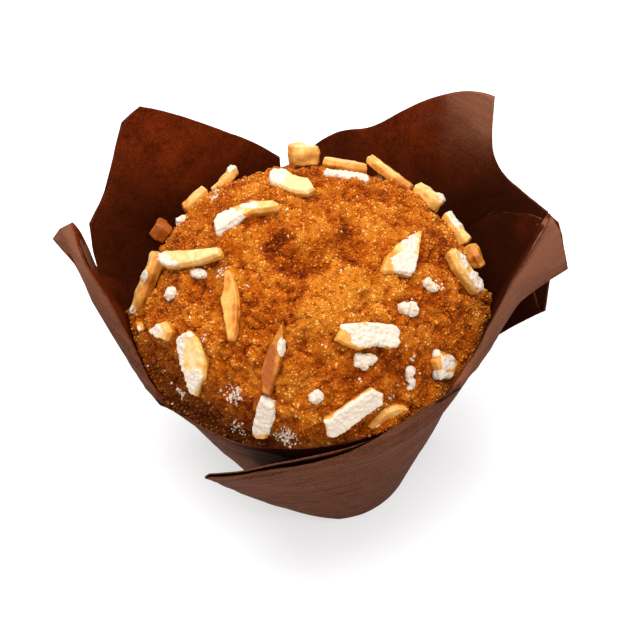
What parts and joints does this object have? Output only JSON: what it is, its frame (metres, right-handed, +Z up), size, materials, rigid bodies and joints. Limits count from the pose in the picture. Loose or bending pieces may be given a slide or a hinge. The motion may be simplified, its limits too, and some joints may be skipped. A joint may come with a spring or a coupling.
{
  "type": "muffin",
  "caption": "Domed almond muffin with slivered almonds and sugar clumps on its crust, standing in a folded brown tulip paper case.",
  "frame": {"origin": "centre of the flat underside of the paper case, on the surface it stands on", "axes": "+Z up, out of the muffin's top; +Y away from the front, where the paper's lowest rim and its front pleat are; +X to the right of someone facing that front"},
  "size_m": [0.1278, 0.1108, 0.0871],
  "materials": {
    "paper": "matte, dark brown, darker with grease inside",
    "crumb": "baked golden brown crust, matte and grainy",
    "almond": "toasted cream to tan, satin, dusted white in places"
  },
  "bodies": {
    "root": {"paper_case": "paper", "muffin": "crumb", "almond_top_left": "almond", "almond_top_back": "almond", "almond_left_bar": "almond", "almond_left_leaning": "almond", "almond_left_upright": "almond", "almond_left_broad": "almond", "almond_left_chip": "almond", "almond_front_pointed": "almond", "almond_front_low": "almond", "almond_back_left_high": "almond", "almond_back_left_low": "almond", "almond_back_left_cube": "almond", "almond_back_knob": "almond", "almond_back_bar": "almond", "almond_back_flat": "almond", "almond_back_right_pointed": "almond", "almond_back_right_knob": "almond", "almond_right_wedge": "almond", "almond_right_back_flat": "almond", "almond_right_curved": "almond", "almond_right_nub": "almond", "almond_front_right_broad": "almond", "almond_right_low_chunk": "almond", "almond_front_bar": "almond", "almond_front_tucked": "almond", "almond_left_rim_chip": "almond"}
  },
  "joints": []
}
